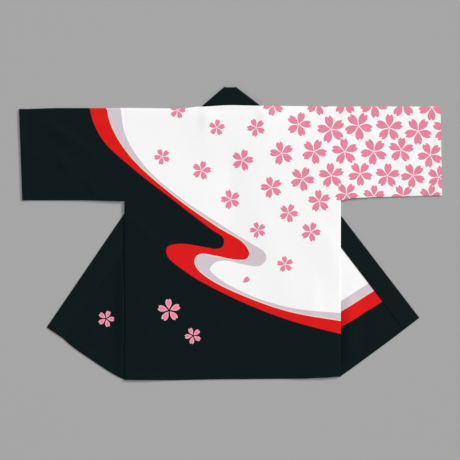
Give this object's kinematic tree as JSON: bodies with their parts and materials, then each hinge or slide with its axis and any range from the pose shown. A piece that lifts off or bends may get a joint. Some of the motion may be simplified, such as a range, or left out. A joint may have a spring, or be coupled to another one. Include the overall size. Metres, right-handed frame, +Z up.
{
  "type": "happi coat",
  "caption": "Open-fronted cotton coat with wide square sleeves and a long collar band, laid flat with its back up and the lower fronts opened out",
  "frame": {"origin": "on the surface that the coat lies on, under the middle of its outline", "axes": "+X across the sleeves, from the picture's left cuff to its right cuff; +Y from the hem to the neck; +Z up, out of the coat's back"},
  "size_m": [1.24, 0.86, 0.0082],
  "materials": {
    "back_panel": "printed cotton, mostly white",
    "front_left": "printed cotton, mostly black",
    "front_right": "printed cotton, mostly black",
    "sleeve_left": "printed cotton, mostly black",
    "sleeve_right": "printed cotton, mostly white",
    "collar": "plain black cotton, doubled"
  },
  "bodies": {
    "root": {"back_panel": "back_panel", "front_left": "front_left", "front_right": "front_right", "sleeve_left": "sleeve_left", "sleeve_right": "sleeve_right", "collar": "collar"}
  },
  "joints": []
}
